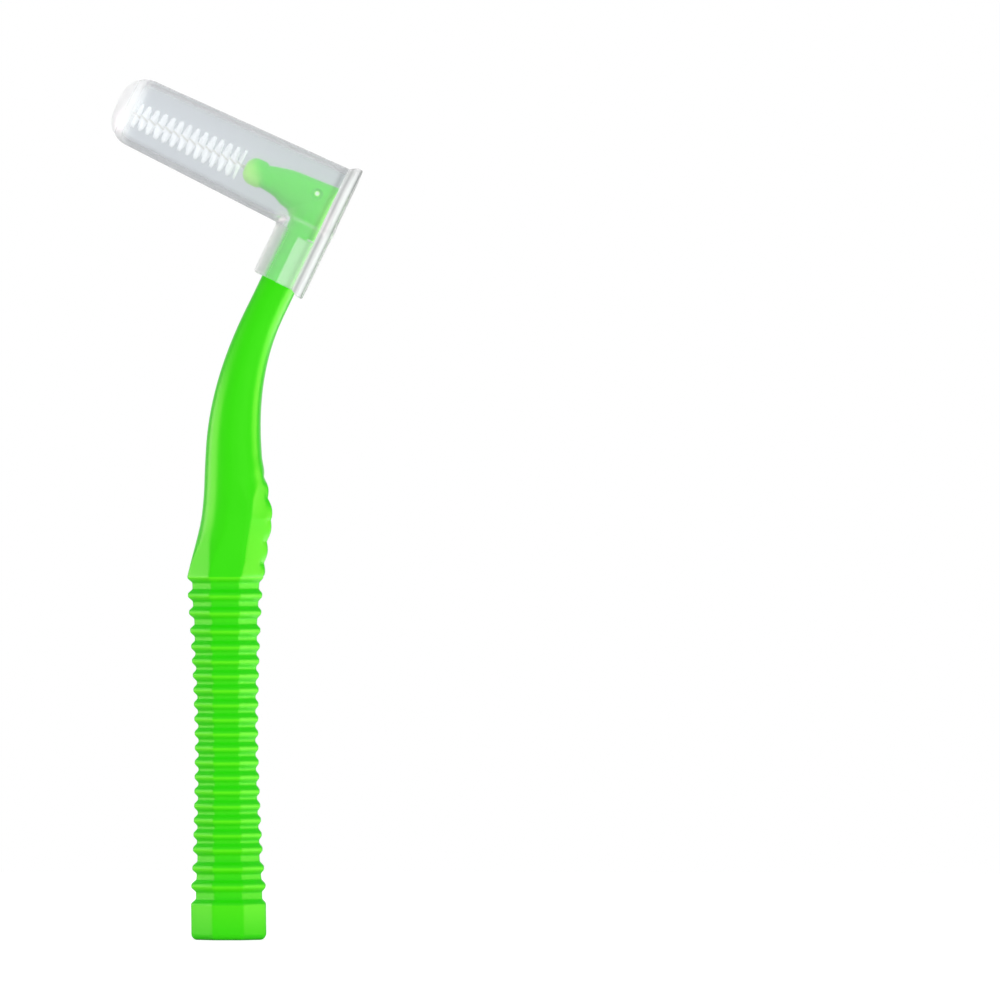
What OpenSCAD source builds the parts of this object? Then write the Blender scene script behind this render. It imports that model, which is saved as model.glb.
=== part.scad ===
// Angled interdental brush with its cap on: a moulded handle with a ribbed grip, a curved neck and
// a short arm, a twisted wire with two rows of filaments, and a clear push-on cap.
// The handle stands on its foot at z = 0 with its length along +Z. The arm points up and to -X.
// The whole brush is symmetric about the plane y = 0, apart from one mould mark and the twist.

/* [Foot] */
// Width of the octagonal foot across its flats
foot_w = 8.67; // [7.5:0.01:12]
// Height of the foot block
foot_h = 4; // [2:0.1:8]
// Radius of the foot's lower edge
foot_round = 0.7; // [0.2:0.05:1.2]

/* [Grip] */
// Height of the ribbed grip, from the foot block to the shoulder
grip_h = 38.3; // [28:0.1:60]
// Width across the crests of the ribs at the waist of the grip
waist_w = 7.45; // [6:0.05:8.5]
// Number of ribs
rib_count = 20; // [10:1:26]
// Depth of the grooves between the ribs
groove_depth = 0.43; // [0.1:0.01:0.7]
// How far the grip leans back to -X over the foot and grip
grip_sweep = 0.37; // [0:0.01:1.5]

/* [Neck] */
// Width of the shoulder across its flats
shoulder_w = 8.82; // [7.5:0.01:12]
// Height from the shoulder to where the neck starts to bend
neck_rise = 14.8; // [14.4:0.1:30]
// How far the neck leans to +X between the shoulder and the bend
neck_sweep = 0.96; // [0:0.02:2]
// Width of the middle of the neck
neck_w = 6.9; // [5.4:0.02:8]
// Depth of the middle of the neck
neck_d = 6.3; // [5:0.05:8]
// Length over which the shoulder narrows into the neck
flare_len = 7.4; // [5:0.1:8.5]
// Length from the shoulder to where the neck starts to taper
taper_start = 8.8; // [8.5:0.1:15]
// Length over which the neck tapers to the stem
taper_len = 23.9; // [14:0.1:25]
// Radius of the bend in the neck
bend_r = 36.7; // [25:0.1:50]
// Angle by which the stem leans away from upright, and the brush points above level
head_lean = 25.7; // [15:0.1:40]
// Length of the straight stem from the bend to the axis of the brush
stem_len = 14.3; // [12.5:0.1:24]
// Width of the stem below the arm
stem_w = 4.34; // [3.6:0.02:5]
// Depth of the stem below the arm
stem_d = 4.4; // [3.4:0.05:4.8]

/* [Thumb rest] */
// Length of the scalloped thumb rest above the shoulder
thumb_len = 14.15; // [10:0.05:14.3]
// Height of the thumb rest over the neck
thumb_rise = 1.5; // [0.4:0.05:2.5]
// Spacing of the scallops
scallop_pitch = 2.52; // [1.8:0.02:4]
// Depth of the notches between the scallops
scallop_depth = 0.28; // [0.1:0.02:0.6]

/* [Arm] */
// Length of the arm from the back of the stem into the bulb
arm_len = 9.3; // [8:0.1:14]
// Height of the arm's back corner over the axis of the brush
head_rise = 2.5; // [2:0.05:3.2]
// Depth below the axis of the brush at which the stem starts to turn into the arm
head_drop = 4.2; // [3.4:0.05:5.5]
// Radius of the bulb at the end of the arm
bulb_r = 1.62; // [1.5:0.01:2.2]
// Length of the bulb
bulb_len = 2.9; // [2.2:0.05:4]
// Length of arm that reaches into the bulb
bulb_lap = 0.6; // [0.2:0.05:1.5]
// Diameter of the round mould mark on the arm
mark_d = 1.1; // [0.5:0.05:1.6]
// Depth of the mould mark below the face of the arm
mark_depth = 0.14; // [0.05:0.01:0.4]

/* [Brush wire] */
// Diameter of the wire, which is folded in half and twisted
wire_d = 0.2; // [0.16:0.01:0.24]
// Length along the axis of one full turn of the twist
twist_pitch = 2.07; // [1.6:0.01:3]
// Length of twisted wire held in the arm
anchor_len = 5; // [3:0.1:7]
// Length of bare wire between the bulb and the filaments
bare_len = 0.55; // [0.3:0.05:3]
// Length of bare wire past the filaments at the tip
tip_len = 0.2; // [0.1:0.05:0.5]

/* [Filaments] */
// Number of filaments across the wire, each with two free ends
filament_count = 200; // [150:1:250]
// Thickness of a filament
filament_d = 0.07; // [0.05:0.005:0.09]
// Length of the wire that carries filaments
brush_len = 13.8; // [10:0.1:14]
// Diameter of the brush at the bulb end
root_brush_d = 3.72; // [2.4:0.02:5]
// Diameter of the brush at the tip
tip_brush_d = 3.04; // [1.6:0.02:4]

/* [Cap] */
// Wall thickness of the cap
cap_wall = 0.75; // [0.5:0.05:0.9]
// Outer diameter of the cap's tube at its open end
tube_d = 9.44; // [9.2:0.02:12]
// Outer diameter of the cap's tube where its end starts to round
tube_end_d = 8.18; // [7.6:0.02:9.2]
// Height of the tube's centre over the axis of the brush
tube_rise = 0.37; // [0:0.01:0.5]
// Radius of the rounding at the end of the tube
end_round = 3; // [1.2:0.05:3.4]
// Gap between the tip of the brush and the inside of the cap
tip_gap = 0.9; // [0.5:0.05:4]
// Distance from the rear of the cap to the back of the stem
rear_gap = 1; // [0.5:0.05:2]
// Gap between the front of the stem and the inside of the sleeve
front_gap = 0.35; // [0.2:0.05:0.6]
// Gap between each side of the stem and the inside of the sleeve
side_gap = 0.4; // [0.3:0.02:0.6]
// Running gap between the stem and each grip pad in the sleeve
pad_gap = 0.15; // [0.1:0.01:0.25]
// Length of the sleeve below the axis of the brush
sleeve_len = 10.5; // [8:0.1:12]
// How far the rim stands out round the open rear of the cap
rim_out = 0.5; // [0.2:0.05:0.9]
// Width of the rim along the cap
rim_w = 1.5; // [0.8:0.05:2.5]

/* [Hidden] */

// Sides of every ring of the handle's skin: even ones lie on flats, odd ones on corners
ring_sides = 16;
// How much farther out a corner of a regular octagon lies than the middle of a flat
corner_share = 1 / cos(180 / 8) - 1;
// Steps of a quarter circle on moulded edges
round_steps = 6;
// Overrun of every cut past the face that it opens
cut = 0.5;
// Clearance of the wire from the filaments and from its socket
wire_clear = 0.02;

// Rings for each rib, and for each scallop
rib_steps = 6;
scallop_steps = 6;
// Steps of the lower edge of the foot
foot_steps = 4;
// Spacing of the rings along the plain neck
neck_step = taper_len / 11;
// Spacing of the outer two ribs, and the gap from an end rib to its block, as shares of rib spacing.
// The wider gaps are deeper in the same share.
outer_rib_share = 1.25;
end_gap_share = 1.33;
outer_ribs = 2;
// How strongly the grip narrows to its waist
waist_power = 1.6;
// Fullness of the ribs: below one their crests are broader than the grooves between them
crest_power = 0.85;
// Part of the neck's rise over which it sweeps to its lean
sweep_share = 0.74;
// How quickly the shoulder narrows
flare_power = 1.7;
// Highest place of the thumb rest as a share of its length, and how it swells below and above that
thumb_peak_share = 0.48;
thumb_power = [0.6, 1.4];
// Deepest notch as a share of the thumb rest's own height there
notch_share = 0.6;
// Where the octagon's corners start to fade and where they are gone, as shares of the thumb rest
fade_right_share = [0.48, 0.85];
fade_left_share = [0, 0.42];

shoulder_z = foot_h + grip_h;
bend_z = shoulder_z + neck_rise;
bend_x = neck_sweep - grip_sweep;
bend_len = bend_r * head_lean * PI / 180;
neck_len = neck_rise + bend_len + stem_len;

// Middle of the stem at the height of the brush axis, and the frame of the head: its origin is on
// the rear plane of the cap, p runs out along the brush axis, and q runs up along the stem
stem_top = neck_centre(neck_len);
stem_mid_p = rear_gap + stem_w / 2;
head_x = stem_top[0] + stem_mid_p * cos(head_lean);
head_z = stem_top[1] - stem_mid_p * sin(head_lean);

// Turn of the stem into the arm. Each row is a section from the inside of the elbow to the outside:
// inner p and outer p are shares of the arm's length from the back of the stem, inner q is a share
// of the drop below the axis, outer q a share of the rise over it, and the last is a share of depth.
elbow_share = [
    [0.478, -0.81, 0, -0.86, 1],
    [0.5, -0.66, 0, 0.08, 1],
    [0.54, -0.57, 0, 0.8, 0.98],
    [0.57, -0.54, 0.04, 0.99, 0.97],
    [0.66, -0.495, 0.32, 0.94, 0.92],
    [0.75, -0.4, 0.66, 0.85, 0.84],
    [0.88, -0.355, 0.88, 0.69, 0.76],
    [1, -0.345, 1, 0.57, 0.7],
];

bulb_end = rear_gap + arm_len - bulb_lap + bulb_len;
// Rounding of the bulb's free end and of its back edge
bulb_round_share = [0.8, 0.25];
bulb_round = bulb_r * bulb_round_share[0];
bulb_back_round = bulb_r * bulb_round_share[1];
// Place of the mould mark on the arm, as shares of its length and of its rise, and the height of the
// arm's face there as a share of half the stem's depth
mark_share = [0.285, 0.33, 0.8];

// Half of the twisted wire: distance of each leg from the axis, and the outside of both
leg_r = filament_d / 2 + wire_clear + wire_d / 2;
twist_r = leg_r + wire_d / 2;
socket_r = twist_r + wire_clear;
wire_sides = 6;
wire_steps = 12;
bend_steps = 4;
brush_start = bulb_end + bare_len;
brush_end = brush_start + brush_len;
wire_start = bulb_end - anchor_len;
wire_end = brush_end + tip_len;
wire_rings = ceil((wire_end - wire_start) / twist_pitch * wire_steps);

// Filaments lie side by side in a thin twisted layer between the two legs of the wire
layer_r = twist_r;
filament_pitch = brush_len / filament_count;
// Part of the filament spacing that a filament fills where it leaves the wire
fill_share = 0.6;
// Thickness of a filament's end as a share of its own
end_share = 0.6;

sleeve_front = stem_mid_p + stem_w / 2 + front_gap + cap_wall;
channel_w = stem_d + 2 * side_gap;
sleeve_w = channel_w + 2 * cap_wall;
// Wall across the end of the cap
end_wall_share = 1.2;
end_wall = cap_wall * end_wall_share;
cap_len = wire_end + leg_r + wire_d / 2 + tip_gap + end_wall;
// Rounding of the sleeve's front edges
sleeve_round_share = 0.32;
sleeve_round = sleeve_w * sleeve_round_share;
// Flat middle of the cap's end stands a little proud, as a share of the rounding
crown_share = 0.03;
// Straight part of the rim, as a share of its width
rim_flat_share = 0.45;
// Width of the rim along the sleeve as a share of its width round the tube
sleeve_rim_share = 0.9;
// Grip pads: distance from the rear of the cap, width, and top below the axis
pad_share = [0.07, 0.5, 0.43];
pad_p = rear_gap + stem_w * pad_share[0];
pad_w = stem_w * pad_share[1];
pad_top = sleeve_len * pad_share[2];

// Shared formulas

function clamp01(t) = max(0, min(1, t));
function ease(t) = pow(clamp01(t), 2) * (3 - 2 * clamp01(t));
function mix(a, b, t) = a + (b - a) * t;
function fade(s, span) = 1 - ease((s - span[0]) / (span[1] - span[0]));
function sum_to(v, n, i = 0) = i >= n ? 0 : v[i] + sum_to(v, n, i + 1);

// Points of a round edge in a profile, from one angle to another
function arc(centre, r, from, to, steps = round_steps) = [
    for (i = [0:steps]) centre + r * [cos(mix(from, to, i / steps)), sin(mix(from, to, i / steps))]
];

// Triangles between rings of equal size, closed by a fan at each end
function tube_faces(rings, sides) = concat(
    [for (i = [0:rings - 2], k = [0:sides - 1])
        [i * sides + k, (i + 1) * sides + (k + 1) % sides, i * sides + (k + 1) % sides]],
    [for (i = [0:rings - 2], k = [0:sides - 1])
        [i * sides + k, (i + 1) * sides + k, (i + 1) * sides + (k + 1) % sides]],
    [for (k = [1:sides - 2]) [0, k, k + 1]],
    [for (k = [1:sides - 2])
        [(rings - 1) * sides, (rings - 1) * sides + k + 1, (rings - 1) * sides + k]]
);

module tube_solid(rings) {
    sides = len(rings[0]);
    points = [for (ring = rings) each ring];
    polyhedron(points = points, faces = tube_faces(len(rings), sides));
}

// Places its children in the frame of the head: x up along the stem, z out along the brush
module in_head() {
    translate([head_x, 0, head_z]) rotate([0, head_lean - 90, 0]) children();
}

function head_point(p, q) = [
    head_x - p * cos(head_lean) + q * sin(head_lean),
    head_z + p * sin(head_lean) + q * cos(head_lean)
];

// Handle

// One ring of skin: centre in the x-z plane, lean, half widths to the left and right, half depth,
// and how much of the octagon's corners it has on each side
function skin_ring(c, lean, left, right, depth, corners) = [
    for (k = [0:ring_sides - 1])
        let (
            a = 360 * k / ring_sides,
            u = cos(a),
            corner = 1 + (k % 2) * corner_share * (u < 0 ? corners[0] : corners[1]),
            w = u * corner * (u < 0 ? left : right)
        )
        [c[0] + w * cos(lean), sin(a) * corner * depth, c[1] - w * sin(lean)]
];

// Spacing of the ribs: gap 0 is from the foot block to the first rib
function gap_share(i) =
    i == 0 || i == rib_count ? end_gap_share
    : i <= outer_ribs || i >= rib_count - outer_ribs ? outer_rib_share
    : 1;
gap_shares = [for (i = [0:rib_count]) gap_share(i)];
rib_unit = grip_h / sum_to(gap_shares, rib_count + 1);
function crest_z(i) = foot_h + rib_unit * sum_to(gap_shares, i);

function grip_x(z) = -grip_sweep * z / shoulder_z;
function crest_half(z) =
    let (
        t = 2 * (z - foot_h) / grip_h - 1,
        end_w = t < 0 ? foot_w : shoulder_w
    )
    mix(waist_w, end_w, pow(abs(t), waist_power)) / 2;

// Depth of the skin below the crests, part t of the way from one crest to the next
function groove(t, share) = groove_depth * share * (1 - pow((1 + cos(360 * t)) / 2, crest_power * share));

function foot_rings() = [
    for (i = [0:foot_steps])
        let (
            a = 90 * i / foot_steps,
            half = foot_w / 2 - foot_round * (1 - sin(a))
        )
        skin_ring([0, foot_round * (1 - cos(a))], 0, half, half, half, [1, 1])
];

function grip_rings() = [
    for (i = [0:rib_count], k = [0:rib_steps - 1])
        let (
            t = k / rib_steps,
            z = mix(crest_z(i), crest_z(i + 1), t),
            half = crest_half(z) - groove(t, gap_shares[i])
        )
        skin_ring([grip_x(z), z], 0, half, half, half, [1, 1])
];

// Centre line of the neck at distance s from the shoulder, as x, z and lean
function neck_centre(s) =
    s <= neck_rise
        ? [mix(-grip_sweep, bend_x, ease(s / (neck_rise * sweep_share))), shoulder_z + s, 0]
    : s <= neck_rise + bend_len
        ? let (a = (s - neck_rise) / bend_r * 180 / PI)
            [bend_x + bend_r * (1 - cos(a)), bend_z + bend_r * sin(a), a]
    : let (d = s - neck_rise - bend_len)
        [
            bend_x + bend_r * (1 - cos(head_lean)) + d * sin(head_lean),
            bend_z + bend_r * sin(head_lean) + d * cos(head_lean),
            head_lean
        ];

// A half size that goes from the shoulder through the middle of the neck to the stem
function along_neck(s, shoulder, middle, stem) =
    s < taper_start
        ? mix(middle, shoulder, pow(1 - clamp01(s / flare_len), flare_power)) / 2
        : mix(middle, stem, ease((s - taper_start) / taper_len)) / 2;

function thumb_bulge(s) =
    let (peak = thumb_len * thumb_peak_share)
    s <= 0 || s >= thumb_len ? 0
    : s < peak ? thumb_rise * pow(s / peak, thumb_power[0])
    : thumb_rise * pow((thumb_len - s) / (thumb_len - peak), thumb_power[1]);
function thumb_notch(s) =
    min(scallop_depth, notch_share * thumb_bulge(s))
    * (1 - abs(sin(180 * (thumb_len - s) / scallop_pitch)));

function neck_ring(s) =
    let (
        c = neck_centre(s),
        half = along_neck(s, shoulder_w, neck_w, stem_w),
        depth = along_neck(s, shoulder_w, neck_d, stem_d),
        corners = [fade(s / thumb_len, fade_left_share), fade(s / thumb_len, fade_right_share)]
    )
    skin_ring(c, c[2], half, half + thumb_bulge(s) - thumb_notch(s), depth, corners);

function neck_rings() =
    let (
        step = scallop_pitch / scallop_steps,
        thumb_steps = floor(thumb_len / step),
        first = thumb_len - thumb_steps * step,
        plain = neck_len - head_drop - thumb_len,
        plain_steps = ceil(plain / neck_step)
    )
    concat(
        first > 0 ? [neck_ring(0)] : [],
        [for (i = [0:thumb_steps - 1]) neck_ring(first + i * step)],
        [for (i = [0:plain_steps]) neck_ring(thumb_len + plain * i / plain_steps)]
    );

function elbow_rings() = [
    for (row = elbow_share)
        let (
            inner = head_point(rear_gap + row[0] * arm_len, row[1] * head_drop),
            outer = head_point(rear_gap + row[2] * arm_len, row[3] * head_rise),
            across = outer - inner,
            half = norm(across) / 2
        )
        skin_ring(
            (inner + outer) / 2, atan2(-across[1], across[0]), half, half, row[4] * stem_d / 2, [0, 0]
        )
];

// Round end of the arm, about the axis of the brush
module bulb() {
    rotate_extrude()
        polygon(concat(
            [[0, bulb_end - bulb_len]],
            arc([bulb_r - bulb_back_round, bulb_end - bulb_len + bulb_back_round],
                bulb_back_round, -90, 0),
            arc([bulb_r - bulb_round, bulb_end - bulb_round], bulb_round, 0, 90),
            [[0, bulb_end]]
        ));
}

module handle() {
    mark_at = head_point(rear_gap + mark_share[0] * arm_len, mark_share[1] * head_rise);
    mark_floor = stem_d / 2 * mark_share[2] - mark_depth;
    color([0.26, 0.87, 0.1])
    difference() {
        union() {
            tube_solid(concat(foot_rings(), grip_rings(), neck_rings(), elbow_rings()));
            in_head() bulb();
        }
        in_head()
            translate([0, 0, wire_start - wire_clear])
            cylinder(r = socket_r, h = anchor_len + wire_clear + cut, $fn = 24);
        translate([mark_at[0], -mark_floor, mark_at[1]])
            rotate([90, 0, 0])
            cylinder(d = mark_d, h = mark_depth + cut, $fn = 32);
    }
}

// Brush wire

function twist(p) = 360 * (p - brush_start) / twist_pitch;
function across_dir(a) = [cos(a), sin(a), 0];
function along_dir(a) = [-sin(a), cos(a), 0];
function unit(v) = v / norm(v);

// Ring of the wire round a centre, in the plane of two unit vectors
function wire_ring(centre, out, side) = [
    for (k = [0:wire_sides - 1])
        let (a = 360 * k / wire_sides)
        centre + wire_d / 2 * (cos(a) * out + sin(a) * side)
];

// Ring of one leg at p, on the side of the axis given by sign, and travelling to the tip or back
function leg_ring(p, sign) =
    let (
        a = twist(p) + 90,
        out = sign * across_dir(a),
        run = unit([0, 0, 1] + sign * 2 * PI * leg_r / twist_pitch * along_dir(a))
    )
    wire_ring([0, 0, p] + leg_r * out, out, cross(sign * run, out));

function wire_bend_rings() =
    let (out = across_dir(twist(wire_end) + 90))
    [
        for (i = [1:bend_steps - 1])
            let (
                a = 180 * i / bend_steps,
                arm = cos(a) * out + [0, 0, sin(a)]
            )
            wire_ring([0, 0, wire_end] + leg_r * arm, arm, cross([0, 0, 1], out))
    ];

module brush_wire() {
    span = wire_end - wire_start;
    color([0.8, 0.8, 0.78])
    in_head()
        tube_solid(concat(
            [for (i = [0:wire_rings]) leg_ring(wire_start + span * i / wire_rings, 1)],
            wire_bend_rings(),
            [for (i = [0:wire_rings]) leg_ring(wire_end - span * i / wire_rings, -1)]
        ));
}

// Bristles

// The layer has two rings of four points for each filament. In a ring the first two points are on
// the edge that one row of free ends leaves from, and the last two on the opposite edge.
function layer_ring(p) =
    let (
        a = twist(p),
        edge = layer_r * across_dir(a),
        half = filament_d / 2 * along_dir(a)
    )
    [
        [0, 0, p] + edge - half,
        [0, 0, p] + edge + half,
        [0, 0, p] - edge + half,
        [0, 0, p] - edge - half
    ];

function brush_half(p) = mix(root_brush_d, tip_brush_d, (p - brush_start) / brush_len) / 2;

// Four points of a free end at radius r, in the order of the layer's edge that it leaves from
function free_end(p, sign) =
    let (
        a = twist(p),
        tip = [0, 0, p] + sign * brush_half(p) * across_dir(a),
        side = sign * end_share * filament_d / 2 * along_dir(a),
        rise = [0, 0, end_share * filament_d / 2]
    )
    [tip - side - rise, tip + side - rise, tip + side + rise, tip - side + rise];

module bristles() {
    n = filament_count;
    half = filament_pitch * fill_share / 2;
    middle = [for (i = [0:n - 1]) brush_start + (i + 1 / 2) * filament_pitch];
    layer = [for (p = middle) each [layer_ring(p - half), layer_ring(p + half)]];
    ends = [for (p = middle) each [free_end(p, 1), free_end(p, -1)]];
    layer_points = [for (ring = layer) each ring];
    end_points = [for (end = ends) each end];
    base = len(layer_points);
    // Corners of the layer's edge under free end j of filament i, and of that end itself
    edge = [for (i = [0:n - 1], j = [0, 2]) [i * 8 + j, i * 8 + j + 1, i * 8 + 5 + j, i * 8 + 4 + j]];
    tip = [for (i = [0:2 * n - 1]) [for (k = [0:3]) base + i * 4 + k]];
    faces = concat(
        [[0, 1, 2], [0, 2, 3]],
        [for (i = [2 * n - 1]) [4 * i, 4 * i + 2, 4 * i + 1]],
        [for (i = [2 * n - 1]) [4 * i, 4 * i + 3, 4 * i + 2]],
        // Broad faces all along the layer, and its edges between filaments
        [for (i = [0:2 * n - 2], k = [0:3]) if (k % 2 == 1 || i % 2 == 1)
            [4 * i + k, 4 * i + 4 + (k + 1) % 4, 4 * i + (k + 1) % 4]],
        [for (i = [0:2 * n - 2], k = [0:3]) if (k % 2 == 1 || i % 2 == 1)
            [4 * i + k, 4 * i + 4 + k, 4 * i + 4 + (k + 1) % 4]],
        // Sides and ends of the filaments
        [for (i = [0:2 * n - 1], k = [0:3]) [edge[i][k], tip[i][(k + 1) % 4], edge[i][(k + 1) % 4]]],
        [for (i = [0:2 * n - 1], k = [0:3]) [edge[i][k], tip[i][k], tip[i][(k + 1) % 4]]],
        [for (i = [0:2 * n - 1]) [tip[i][0], tip[i][2], tip[i][1]]],
        [for (i = [0:2 * n - 1]) [tip[i][0], tip[i][3], tip[i][2]]]
    );
    color([0.96, 0.96, 0.95])
    in_head() polyhedron(points = concat(layer_points, end_points), faces = faces);
}

// Cap

// Outer half width of the tube at p
function tube_r(p) =
    mix(tube_d, tube_end_d, p / (cap_len - end_round * (1 + crown_share))) / 2;

// The last of the rounding runs into the crown of the end
round_skip = 90 * crown_share;

// Closed profile of a tapered tube with a rounded end, drawn in by the wall for the inside
function tube_profile(inset, end_inset, start) =
    let (
        r = end_round - inset,
        end = cap_len - end_inset,
        round_start = end - r * (1 + crown_share),
        side = tube_r(round_start) - inset
    )
    concat(
        [[0, start], [tube_r(start) - inset, start]],
        arc([side - r, round_start], r, 0, 90 - round_skip),
        [[0, end]]
    );

module tube_outside() {
    rotate_extrude() polygon(tube_profile(0, 0, 0));
    rotate_extrude()
        polygon([
            [0, 0],
            [tube_r(0) + rim_out, 0],
            [tube_r(0) + rim_out, rim_w * rim_flat_share],
            [tube_r(rim_w), rim_w],
            [0, rim_w]
        ]);
}

// Section of the sleeve square to the stem: p along y here, and its rear edge is the rim
module sleeve_section() {
    half = sleeve_w / 2;
    rim = rim_w * sleeve_rim_share;
    polygon(concat(
        [
            [half + rim_out, 0],
            [half + rim_out, rim * rim_flat_share],
            [half, rim]
        ],
        arc([half - sleeve_round, sleeve_front - sleeve_round], sleeve_round, 0, 90),
        arc([sleeve_round - half, sleeve_front - sleeve_round], sleeve_round, 90, 180),
        [
            [-half, rim],
            [-half - rim_out, rim * rim_flat_share],
            [-half - rim_out, 0]
        ]
    ));
}

module channel_section() {
    half = channel_w / 2;
    front = sleeve_front - cap_wall;
    r = sleeve_round - cap_wall;
    polygon(concat(
        [[half, -cut]],
        arc([half - r, front - r], r, 0, 90),
        arc([r - half, front - r], r, 90, 180),
        [[-half, -cut]]
    ));
}

// Stands a section in y and p up along the stem, from one q to another
module along_stem(from, to) {
    translate([from, 0, 0]) rotate([90, 0, 90]) linear_extrude(height = to - from) children();
}

// Rim under the lower end of the sleeve
module sleeve_foot() {
    half = sleeve_w / 2 + rim_out;
    rim = rim_w * sleeve_rim_share;
    translate([0, half, 0])
        rotate([90, 0, 0])
        linear_extrude(height = 2 * half)
        polygon([
            [-sleeve_len, 0],
            [-sleeve_len, rim],
            [-sleeve_len - rim_out, rim * rim_flat_share],
            [-sleeve_len - rim_out, 0]
        ]);
}

// Pad on one side wall of the sleeve, which holds the stem from the side
module grip_pad() {
    thick = side_gap - pad_gap;
    r = pad_w / 2;
    translate([0, channel_w / 2 + cut, 0])
        rotate([90, 0, 0])
        linear_extrude(height = thick + cut)
        polygon(concat(
            [[-sleeve_len, pad_p], [-pad_top, pad_p]],
            arc([-pad_top - r, pad_p + pad_w - r], r, 0, 90),
            [[-sleeve_len, pad_p + pad_w]]
        ));
}

module cap() {
    color([0.8, 0.84, 0.88, 0.5])
    in_head() {
        difference() {
            union() {
                translate([tube_rise, 0, 0]) tube_outside();
                along_stem(-sleeve_len, tube_rise) sleeve_section();
                sleeve_foot();
            }
            translate([tube_rise, 0, 0])
                rotate_extrude() polygon(tube_profile(cap_wall, end_wall, -cut));
            along_stem(-sleeve_len - rim_out - cut, tube_rise) channel_section();
        }
        grip_pad();
        mirror([0, 1, 0]) grip_pad();
    }
}

handle();
brush_wire();
bristles();
cap();
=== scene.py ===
import math

import bpy
import numpy as np
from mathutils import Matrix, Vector


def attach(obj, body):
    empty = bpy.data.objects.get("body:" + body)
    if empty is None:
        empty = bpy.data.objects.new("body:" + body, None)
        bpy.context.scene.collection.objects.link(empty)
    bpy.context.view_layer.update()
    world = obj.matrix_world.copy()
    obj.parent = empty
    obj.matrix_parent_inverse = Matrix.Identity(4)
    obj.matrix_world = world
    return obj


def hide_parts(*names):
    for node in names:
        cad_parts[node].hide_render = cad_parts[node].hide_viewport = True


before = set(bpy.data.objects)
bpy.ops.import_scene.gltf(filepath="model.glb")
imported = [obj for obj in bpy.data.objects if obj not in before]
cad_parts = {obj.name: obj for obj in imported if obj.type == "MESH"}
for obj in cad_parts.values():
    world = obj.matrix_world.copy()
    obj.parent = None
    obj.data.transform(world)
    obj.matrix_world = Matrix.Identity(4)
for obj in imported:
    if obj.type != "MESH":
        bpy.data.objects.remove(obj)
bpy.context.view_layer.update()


# Studio: a plain white floor under the standing brush, in a white surround. Large soft lamps light it
# from above the front and from behind, and pale cards show only as reflections on its facets.
# The camera is level and square to the brush, far off through a long lens.

MM = 0.001
# Scale and width of the photo, and the pixel in it where the middle of the foot stands
PIXEL_MM = 0.1165
PHOTO_PIXELS = 1000
FOOT_PIXEL = (228.6, 939.5)
BRUSH_MIDDLE = (0, 0, 0.05)

camera_data = bpy.data.cameras.new("camera")
camera_data.lens = 600
camera_data.sensor_width = 36
camera = bpy.data.objects.new("camera", camera_data)
view_width = PHOTO_PIXELS * PIXEL_MM * MM
camera.location = (
    (PHOTO_PIXELS / 2 - FOOT_PIXEL[0]) * PIXEL_MM * MM,
    -view_width * camera_data.lens / camera_data.sensor_width,
    (FOOT_PIXEL[1] - PHOTO_PIXELS / 2) * PIXEL_MM * MM,
)
camera.rotation_euler = (math.pi / 2, 0, 0)
bpy.context.scene.collection.objects.link(camera)
bpy.context.scene.camera = camera
bpy.context.scene.view_settings.view_transform = "Standard"


def soft_box(name, place, size, radiance, aim=BRUSH_MIDDLE, colour=(1, 1, 1)):
    """Rectangular lamp that faces a point, as bright as a surface of that radiance."""
    data = bpy.data.lights.new(name, "AREA")
    data.shape = "RECTANGLE"
    data.size, data.size_y = size
    data.energy = radiance * math.pi * size[0] * size[1]
    data.color = colour
    lamp = bpy.data.objects.new(name, data)
    lamp.location = place
    lamp.rotation_euler = (Vector(aim) - Vector(place)).to_track_quat("-Z", "Y").to_euler()
    lamp.visible_camera = False
    bpy.context.scene.collection.objects.link(lamp)
    return lamp


for lamp in (
    soft_box("lamp_front", (0.24, -0.77, 0.24), (0.50, 0.50), 3.4),
    soft_box("lamp_back", (-0.20, 0.70, 0.45), (0.60, 0.50), 1.5),
):
    lamp.visible_glossy = False
    lamp.visible_transmission = False
# Cards that only show as reflections: a tinted one on each side, and two white ones flat on the floor
for card in (
    soft_box("card_left", (-0.20, 0.005, 0.050), (0.20, 0.15), 4.5, colour=(1, 0.75, 0.85)),
    soft_box("card_right", (0.30, -0.02, 0.055), (0.22, 0.10), 3.8, colour=(1, 1, 0.45)),
    soft_box("card_near", (0.05, 0.0, 0.0008), (0.06, 0.10), 1.7, aim=(0.05, 0, 1)),
    soft_box("card_far", (0.17, -0.01, 0.0008), (0.13, 0.26), 6.5, aim=(0.17, -0.01, 1)),
):
    card.visible_diffuse = False
    card.visible_transmission = False


def add_node(tree, kind, values=None, **settings):
    """Node of a shader tree with its settings and the values of its unlinked sockets."""
    made = tree.nodes.new("ShaderNode" + kind)
    for key, value in settings.items():
        setattr(made, key, value)
    for key, value in (values or {}).items():
        made.inputs[key].default_value = value
    return made


def blend_colours(tree, factor, a, b):
    """Mix of two colours, each a colour or an output, by an output that says how much of b."""
    made = add_node(tree, "Mix", data_type="RGBA")
    for socket, value in ((made.inputs[6], a), (made.inputs[7], b)):
        if isinstance(value, bpy.types.NodeSocket):
            tree.links.new(value, socket)
        else:
            socket.default_value = (*value, 1)
    tree.links.new(factor, made.inputs[0])
    return made.outputs[2]


DAYLIGHT = 0.74


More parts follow.
